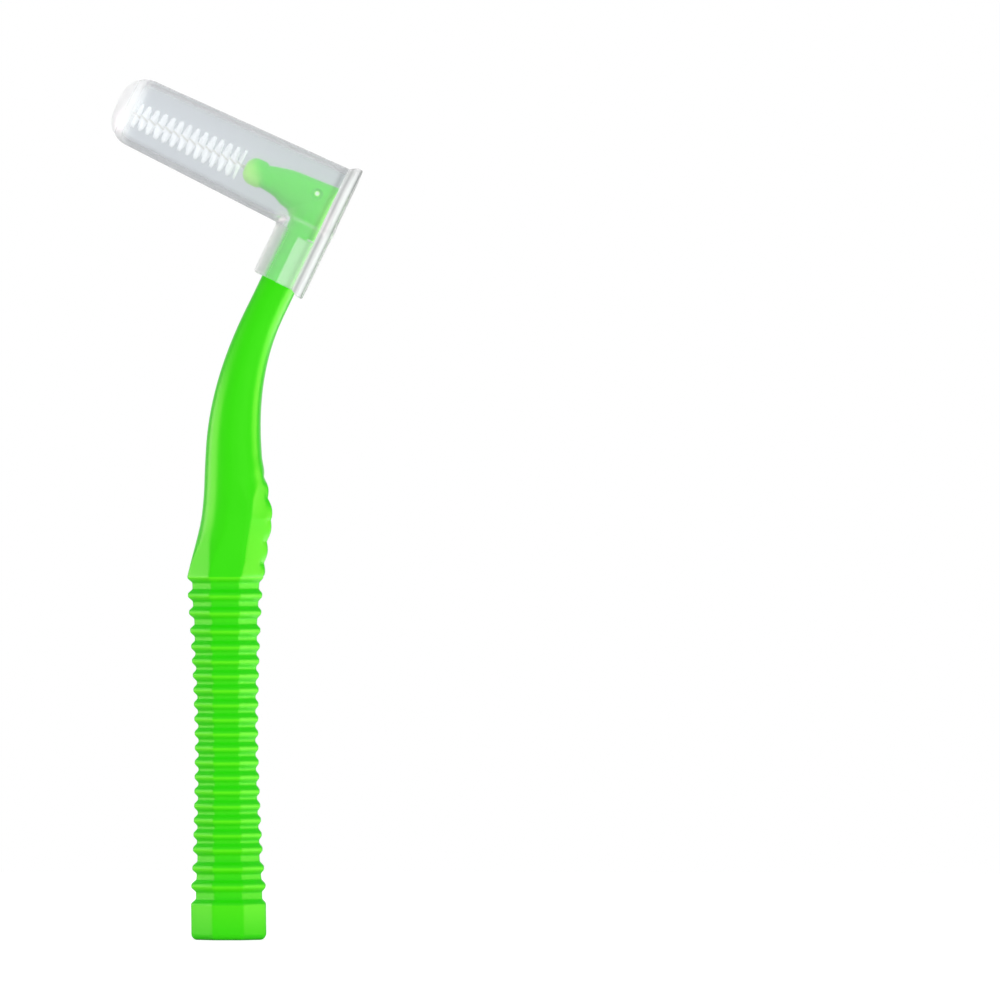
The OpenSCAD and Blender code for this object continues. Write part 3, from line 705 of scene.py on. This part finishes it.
def tube(name, path, radius, sides):
    """Round tube along points given in the frame of the head, without twist of its own."""
    run = np.gradient(path, axis=0)
    run /= np.linalg.norm(run, axis=1)[:, None]
    turn = np.linspace(0, 2 * math.pi, sides, endpoint=False)[:, None]
    # Any direction across the start of the path will do to begin with
    out = np.cross(run[0], (0.3, 0.2, 0.9))
    rings = []
    for at, along in zip(path, run):
        out = out - along * np.dot(out, along)
        out /= np.linalg.norm(out)
        side = np.cross(along, out)
        rings.append(from_head(at + radius * (np.cos(turn) * out + np.sin(turn) * side)))
    return skin(name, rings)


wire = tube("twisted_wire", wire_path(), WIRE_D / 2, WIRE_SIDES)


STEEL, STEEL_CLOUD, STEEL_ROUGHNESS = (0.95, 0.93, 0.88), (0.78, 0.77, 0.73), (0.24, 0.42)


def drawn_steel():
    material, tree, shader = new_material("drawn_steel", metallic=0.6)
    marks = add_node(tree, "Group", {"Cloud Scale": 900.0}, node_tree=surface_group)
    colour = blend_colours(tree, marks.outputs["Cloud"], STEEL, STEEL_CLOUD)
    gloss = add_node(
        tree, "MapRange", {"To Min": STEEL_ROUGHNESS[0], "To Max": STEEL_ROUGHNESS[1]})
    tree.links.new(marks.outputs["Grain"], gloss.inputs["Value"])
    tree.links.new(colour, shader.inputs["Base Color"])
    tree.links.new(gloss.outputs["Result"], shader.inputs["Roughness"])
    return material


wire.data.materials.append(drawn_steel())
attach(wire, "brush")
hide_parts("brush_wire")


# Bristles: fine white nylon filaments laid across the wire and caught between its two legs. The
# twist fans them into two spiral rows that narrow a little to the tip.

FILAMENTS, FILAMENT_D, ROOT_D, TIP_D = 560, 0.062, 3.72, 3.04
# How far the turns of the wire gather the filaments: about the brush and along it
GATHER_TURN, GATHER_RUN = 0.55, 0.33
# Spread of the filaments' angle, length, bow and lean, and how much thinner their ends are
TURN_SPREAD, LENGTH_SPREAD, BOW_SPREAD, LEAN_SPREAD, END_SHARE = 0.05, 0.02, 0.05, 0.03, 0.7
# Places of the rings along a filament, from one end to the other
REACH = np.array([-1, -0.8, -0.5, -0.2, 0.2, 0.5, 0.8, 1])


def filament_mesh():
    """All filaments as one mesh: each is a slender bent rod of eight rings and four sides."""
    rng = np.random.default_rng(7)
    points, faces = [], []
    size = np.full(len(REACH), FILAMENT_D / 2)
    size[[0, -1]] *= END_SHARE
    up = np.array([0, 0, 1])
    for i in range(FILAMENTS):
        # The turns of the wire press the filaments into flat tufts, two to a turn
        even = twist(mix(brush_start, brush_end, (i + 0.5) / FILAMENTS))
        p = brush_start + (even - GATHER_RUN * math.sin(2 * even)) / (2 * math.pi) * TWIST_PITCH
        a = even - GATHER_TURN * math.sin(2 * even) + rng.normal(0, TURN_SPREAD)
        half = mix(ROOT_D, TIP_D, (p - brush_start) / BRUSH_LEN) / 2
        half = half * np.where(REACH < 0, *(1 - abs(rng.normal(0, LENGTH_SPREAD, 2))))
        bow = rng.normal(0, BOW_SPREAD) * REACH ** 2
        lean = rng.normal(0, LEAN_SPREAD)
        along = np.stack([
            REACH * half * math.cos(a) - math.sin(a) * bow,
            REACH * half * math.sin(a) + math.cos(a) * bow,
            p + lean * REACH * half,
        ], 1)
        out = np.array([-math.sin(a), math.cos(a), 0])
        start = len(points)
        for corner in ((1, 0), (0, 1), (-1, 0), (0, -1)):
            points.extend(along + size[:, None] * (corner[0] * out + corner[1] * up))
        rows = len(REACH)
        for k in range(4):
            n = (k + 1) % 4
            for j in range(rows - 1):
                faces.append([start + k * rows + j, start + n * rows + j,
                              start + n * rows + j + 1, start + k * rows + j + 1])
        faces.append([start + k * rows for k in range(4)][::-1])
        faces.append([start + k * rows + rows - 1 for k in range(4)])
    mesh = bpy.data.meshes.new("filaments")
    mesh.from_pydata((from_head(points) * MM).tolist(), [], faces)
    mesh.shade_smooth()
    return mesh


filaments = bpy.data.objects.new("filaments", filament_mesh())
bpy.context.scene.collection.objects.link(filaments)


NYLON, NYLON_CLOUD = (0.97, 0.97, 0.965), (0.90, 0.905, 0.91)


def white_nylon():
    # Painted glow: the filaments give off a little light, so they look brighter than white paper
    material, tree, shader = new_material(
        "white_nylon", roughness=0.38, ior=1.53,
        emission_color=(1, 1, 1, 1), emission_strength=0.17)
    marks = add_node(tree, "Group", {"Cloud Scale": 1400.0}, node_tree=surface_group)
    colour = blend_colours(tree, marks.outputs["Cloud"], NYLON, NYLON_CLOUD)
    tree.links.new(colour, shader.inputs["Base Color"])
    return material


filaments.data.materials.append(white_nylon())
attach(filaments, "brush")
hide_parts("bristles")


# Cap: a clear, slightly milky moulding of polypropylene. A round tube with a domed end covers the
# brush, and a sleeve open at the rear and below pushes over the stem, gripped by two pads. A raised
# rim runs round the open rear. Its edges are softly rounded, so it is shaped as one smooth field.

CAP_WALL, TUBE_D, TUBE_END_D, TUBE_RISE, END_ROUND = 0.75, 9.44, 8.18, 0.37, 3.0
TIP_GAP, FRONT_GAP, SIDE_GAP, PAD_GAP, SLEEVE_LEN = 0.9, 0.35, 0.4, 0.15, 10.5
RIM_OUT, RIM_W, RIM_FLAT = 0.5, 1.5, 0.45
END_WALL, SLEEVE_ROUND_SHARE, PAD_SHARE = CAP_WALL * 1.2, 0.64, (0.07, 0.5, 0.43)
# Rounds of the outer edges, and fillets where two forms meet
REAR_ROUND, MOUTH_ROUND, RIM_ROUND, LIP_ROUND, PAD_ROUND = 0.2, 0.35, 0.3, 0.2, 0.4
CROTCH_FILLET, OUTLINE_FILLET, RIM_FILLET, INNER_FILLET, PAD_FILLET = 0.5, 0.3, 0.12, 0.3, 0.3

cap_len = wire_end + LEG_R + WIRE_D / 2 + TIP_GAP + END_WALL
sleeve_front = stem_mid_p + STEM_W / 2 + FRONT_GAP + CAP_WALL
channel_half = STEM_D / 2 + SIDE_GAP
sleeve_half = channel_half + CAP_WALL
sleeve_round = sleeve_half * SLEEVE_ROUND_SHARE
pad_p, pad_w = REAR_GAP + STEM_W * PAD_SHARE[0], STEM_W * PAD_SHARE[1]
pad_top = SLEEVE_LEN * PAD_SHARE[2]


def blend_min(a, b, k):
    """Lesser of two distances with a fillet of about k where they meet."""
    h = np.maximum(k - abs(a - b), 0) / k
    return np.minimum(a, b) - h * h * k / 4


def blend_max(a, b, k):
    """Greater of two distances with an edge rounded by about k where they meet."""
    return -blend_min(-a, -b, k)


def tube_radius(p):
    """Outer radius of the tapered tube at distance p from the open rear."""
    return mix(TUBE_D, TUBE_END_D, p / (cap_len - END_ROUND)) / 2


def round_box(a, b, r):
    """Distance outside the corner region of two distances to straight sides, rounded by r."""
    a, b = a + r, b + r
    return np.minimum(np.maximum(a, b), 0) + np.hypot(np.maximum(a, 0), np.maximum(b, 0)) - r


def cap_outline(q, y):
    """Distance outside the rear outline of the cap: the tube and the sleeve below it."""
    straight = np.maximum(abs(y) - sleeve_half, np.maximum(-SLEEVE_LEN - q, q - TUBE_RISE))
    return blend_min(np.hypot(q - TUBE_RISE, y) - tube_radius(0), straight, OUTLINE_FILLET)


def cap_field(q, y, p):
    """Signed distance to the skin of the cap, in millimetres: negative inside the plastic."""
    # Tube with its domed end, and the bore in it
    r = np.hypot(q - TUBE_RISE, y)
    tube = round_box(r - tube_radius(np.minimum(p, cap_len - END_ROUND)), p - cap_len, END_ROUND)
    tube = blend_max(tube, -p, REAR_ROUND)
    bore = round_box(
        r - tube_radius(np.minimum(p, cap_len - END_ROUND)) + CAP_WALL,
        p - cap_len + END_WALL, END_ROUND - CAP_WALL)
    # Sleeve below the tube, and the channel in it
    side = abs(y)
    sleeve = round_box(side - sleeve_half, p - sleeve_front, sleeve_round)
    sleeve = blend_max(sleeve, np.maximum(-SLEEVE_LEN - q, q - TUBE_RISE), MOUTH_ROUND)
    sleeve = blend_max(sleeve, -p, REAR_ROUND)
    channel = round_box(side - channel_half, p - sleeve_front + CAP_WALL, sleeve_round - CAP_WALL)
    channel = np.maximum(channel, q - TUBE_RISE)
    # The rim follows the outline of tube and sleeve, and slopes down to them at its front
    slope = np.clip((RIM_W - p) / (RIM_W * (1 - RIM_FLAT)), 0, 1)
    thick = abs(p - RIM_W / 2) - RIM_W / 2
    rim = blend_max(cap_outline(q, y) - RIM_OUT * slope, thick, RIM_ROUND)
    outside = blend_min(blend_min(tube, sleeve, CROTCH_FILLET), rim, RIM_FILLET)
    plastic = blend_max(outside, -blend_min(bore, channel, INNER_FILLET), LIP_ROUND)
    # Pads inside the sleeve that grip the stem
    low, high = -SLEEVE_LEN, -pad_top
    pad = round_box(q - high, p - pad_p - pad_w, pad_w / 2)
    pad = np.maximum(pad, np.maximum(low - q, pad_p - p))
    pad = blend_max(pad, abs(side - channel_half) - (SIDE_GAP - PAD_GAP), PAD_ROUND)
    return blend_min(plastic, pad, PAD_FILLET)


def cap_slope(at, step=0.02):
    """Field at each point, and the direction in which it grows."""
    ahead = [cap_field(*(at + step * axis).T) for axis in np.eye(3)]
    behind = [cap_field(*(at - step * axis).T) for axis in np.eye(3)]
    return cap_field(*at.T), (np.stack(ahead, 1) - np.stack(behind, 1)) / (2 * step)


# Size of the quads, and how the corners are drawn onto the field: the rounds, the longest move in
# each, and the least square of the slope that they count with
CAP_QUAD, DRAW_ROUNDS, DRAW_MOST, LEAST_SLOPE = 0.15, 6, 0.12, 0.3


def cap_mesh():
    """Even skin of small quads from the solid's shape, each corner drawn onto the field."""
    rough = bpy.data.objects.new("cap_rough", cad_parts["cap"].data.copy())
    bpy.context.scene.collection.objects.link(rough)
    even = rough.modifiers.new("even", "REMESH")
    even.mode = "VOXEL"
    even.voxel_size = CAP_QUAD * MM
    shown = bpy.context.evaluated_depsgraph_get()
    mesh = bpy.data.meshes.new_from_object(rough.evaluated_get(shown))
    bpy.data.objects.remove(rough)
    at = to_head(mesh)
    for _ in range(DRAW_ROUNDS):
        here, slope = cap_slope(at)
        size = np.maximum((slope ** 2).sum(1), LEAST_SLOPE)
        at -= np.clip(here / size, -DRAW_MOST, DRAW_MOST)[:, None] * slope
    mesh.vertices.foreach_set("co", (from_head(at) * MM).astype(np.float32).ravel())
    mesh.update()
    mesh.shade_smooth()
    outward = cap_slope(at)[1] @ HEAD_AXES
    outward /= np.maximum(np.linalg.norm(outward, axis=1), 1e-6)[:, None]
    mesh.normals_split_custom_set_from_vertices(outward.tolist())
    mesh.name = "cap_moulding"
    return mesh


def band(along, middle, spread):
    """Soft line across a direction: 1 at its middle, and fading out on both sides."""
    return np.exp(-((along - middle) / spread) ** 2)


# Height of the tube's underside: below it, the cap is the sleeve alone
SLEEVE_TOP = -4.2
# How white each place looks: milky plastic, and painted highlights
DOME_WHITE, RIM_WHITE, PAD_WHITE, PAD_REAR_HIGHLIGHT, PAD_UPPER_HIGHLIGHT = 0.65, 0.65, 0.25, 0.4, 0.5
FRONT_WHITE, CORNER_HIGHLIGHT, CROTCH_HIGHLIGHT, TUBE_EDGE_HIGHLIGHT = 0.06, 0.75, 0.35, 0.13
# Painted dark lines across the rim, where it is seen edge on: where each is, how broad and how strong
RIM_DARK_LINES = ((0.1, 0.16, 1.0), (1.1, 0.22, 0.65), (2.0, 0.35, 0.25))
# Strength of the painted shade down the front of the sleeve, and how dull the inside is
FRONT_DARK_LINE, INSIDE_DULL = 0.35, 0.33


def frost_and_highlight_places(q, y, p):
    """How white it looks, 0 to 1: milky where thick, rough or seen edge on, painted highlights on
    edges.
    """
    dome = DOME_WHITE * ease_array((p - cap_len + END_ROUND) / 2.0)
    rim = RIM_WHITE * ease_array((RIM_W - p) / 0.3 + 0.5)
    # Face of each pad, and painted highlights on its rear edge and on the rear half of its top edge
    on_wall = (abs(y) > channel_half - 0.35) * (abs(y) < sleeve_half)
    on_pad = ease_array((-pad_top - q) / 0.15 + 1) * on_wall
    rear_half = ease_array((pad_p + pad_w * 0.55 - p) / 0.3)
    pad_face = PAD_WHITE * ease_array((-pad_top - q) / 0.4)
    pad_face = pad_face * ease_array((pad_p + pad_w * 1.05 - p) / 0.25)
    pad_rear_highlight = PAD_REAR_HIGHLIGHT * band(p, pad_p, 0.2) * on_pad
    pad_upper_highlight = PAD_UPPER_HIGHLIGHT * band(q, -pad_top, 0.15) * on_pad * rear_half
    # Front of the sleeve, faintly white, with painted highlights on its two rounded corners
    front = FRONT_WHITE * ease_array((p - sleeve_front + 1.6) / 0.5)
    corners = ease_array((p - sleeve_front + 0.5) / 0.25) * ease_array((abs(y) - 0.5) / 0.6)
    front = (front + CORNER_HIGHLIGHT * corners) * ease_array((SLEEVE_TOP - q) / 0.6)
    # Painted highlights on the crotch of tube and sleeve, and along the tube's edge beside it
    crotch_highlight = CROTCH_HIGHLIGHT * band(q, -3.6, 0.9) * band(p, 6.1, 0.8)
    tube_edge_highlight = TUBE_EDGE_HIGHLIGHT * band(q, -2.85, 0.18) * (abs(y) > 2.5) * ease_array((6.2 - p) / 0.5)
    return np.maximum.reduce([dome, rim, pad_face, pad_rear_highlight, pad_upper_highlight, front, crotch_highlight, tube_edge_highlight])


def painted_dark_lines(q, p):
    """Painted dark lines where the rim is seen edge on, and painted shade down the front of the sleeve.
    """
    rim = [strong * band(p, place, broad) for place, broad, strong in RIM_DARK_LINES]
    front = FRONT_DARK_LINE * band(p, sleeve_front - 0.9, 0.35) * (q < SLEEVE_TOP)
    return np.maximum.reduce([*rim, front])


def dull_places(q, y, p):
    """How dull the skin is, from 0 to 1: partly on the inside, which the core of the mould shapes,
    and fully at the front of the sleeve."""
    bore = np.hypot(q - TUBE_RISE, y) - tube_radius(np.minimum(p, cap_len)) + CAP_WALL / 2
    slot = np.maximum(abs(y) - channel_half - CAP_WALL / 2, p - sleeve_front + CAP_WALL / 2)
    inside = INSIDE_DULL * (np.minimum(bore, np.maximum(slot, q - TUBE_RISE)) < 0)
    front = ease_array((p - sleeve_front + 2.4) / 1.2) * (q < SLEEVE_TOP)
    return np.maximum(inside, front)


cap = bpy.data.objects.new("cap_moulding", cap_mesh())
bpy.context.scene.collection.objects.link(cap)
q, y, p = to_head(cap.data).T
# Milky white places, and painted highlights on edges and corners
paint(cap.data, "frost_and_highlight", frost_and_highlight_places(q, y, p))
# Painted dark lines on the rim and painted shade down the front of the sleeve
paint(cap.data, "line", painted_dark_lines(q, p))
paint(cap.data, "dull", dull_places(q, y, p))

# Colours of the clear plastic and its clouds, of milky white plastic and painted highlights, and of
# the painted dark lines
CLEAR = (0.905, 0.94, 0.97)
CLEAR_CLOUD = (0.93, 0.96, 0.985)
FROST_AND_HIGHLIGHT_WHITE = (0.97, 0.97, 0.97)
PAINTED_DARK = (0.25, 0.27, 0.26)
GLOSSY, DULL, FROST_ROUGHNESS, MOST_WHITE = 0.04, 0.34, 0.35, 0.7


def clear_plastic():
    """Clear plastic, milky white by a share and at painted highlights, that lets lamps shine through.
    """
    # Painted glow: the clear shader and the milky white one give off a little light
    material, tree, shader = new_material(
        "clear_plastic", ior=1.46, transmission_weight=0.93,
        emission_color=(1, 1, 1, 1), emission_strength=0.025)
    frost_and_highlight_shader = add_node(tree, "BsdfPrincipled", {
        "Roughness": 0.4, "IOR": 1.46, "Emission Color": (1, 1, 1, 1), "Emission Strength": 0.11})
    marks = add_node(tree, "Group", {"Cloud Scale": 420.0}, node_tree=surface_group)
    colour = blend_colours(tree, marks.outputs["Cloud"], CLEAR, CLEAR_CLOUD)
    # Share of milky white, for the thick or rough plastic and the painted highlights
    frost_and_highlight = add_node(tree, "Attribute", attribute_name="frost_and_highlight")
    line = add_node(tree, "Attribute", attribute_name="line")
    dull = add_node(tree, "Attribute", attribute_name="dull")
    # The painted dark lines darken both the milky white and the clear colour
    white = blend_colours(tree, line.outputs["Fac"], FROST_AND_HIGHLIGHT_WHITE, PAINTED_DARK)
    colour = blend_colours(tree, line.outputs["Fac"], colour, PAINTED_DARK)
    gloss = add_node(tree, "MapRange", {"To Min": GLOSSY, "To Max": DULL})
    rough = add_node(tree, "Mix", {3: FROST_ROUGHNESS}, data_type="FLOAT")
    milky = add_node(tree, "MapRange", {"To Min": 0.0, "To Max": MOST_WHITE})
    frost_and_highlight_mix = add_node(tree, "MixShader")
    tree.links.new(dull.outputs["Fac"], gloss.inputs["Value"])
    tree.links.new(frost_and_highlight.outputs["Fac"], rough.inputs[0])
    tree.links.new(gloss.outputs["Result"], rough.inputs[2])
    tree.links.new(frost_and_highlight.outputs["Fac"], milky.inputs["Value"])
    tree.links.new(white, frost_and_highlight_shader.inputs["Base Color"])
    tree.links.new(colour, shader.inputs["Base Color"])
    tree.links.new(rough.outputs[0], shader.inputs["Roughness"])
    through = add_node(tree, "BsdfTransparent", {"Color": (1, 1, 1, 1)})
    path = add_node(tree, "LightPath")
    choose = add_node(tree, "MixShader")
    tree.links.new(path.outputs["Is Shadow Ray"], choose.inputs[0])
    tree.links.new(milky.outputs["Result"], frost_and_highlight_mix.inputs[0])
    tree.links.new(shader.outputs[0], frost_and_highlight_mix.inputs[1])
    tree.links.new(frost_and_highlight_shader.outputs[0], frost_and_highlight_mix.inputs[2])
    tree.links.new(frost_and_highlight_mix.outputs[0], choose.inputs[1])
    tree.links.new(through.outputs[0], choose.inputs[2])
    tree.links.new(choose.outputs[0], tree.nodes["Material Output"].inputs["Surface"])
    return material


cap.data.materials.clear()
cap.data.materials.append(clear_plastic())
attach(cap, "cap")
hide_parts("cap")
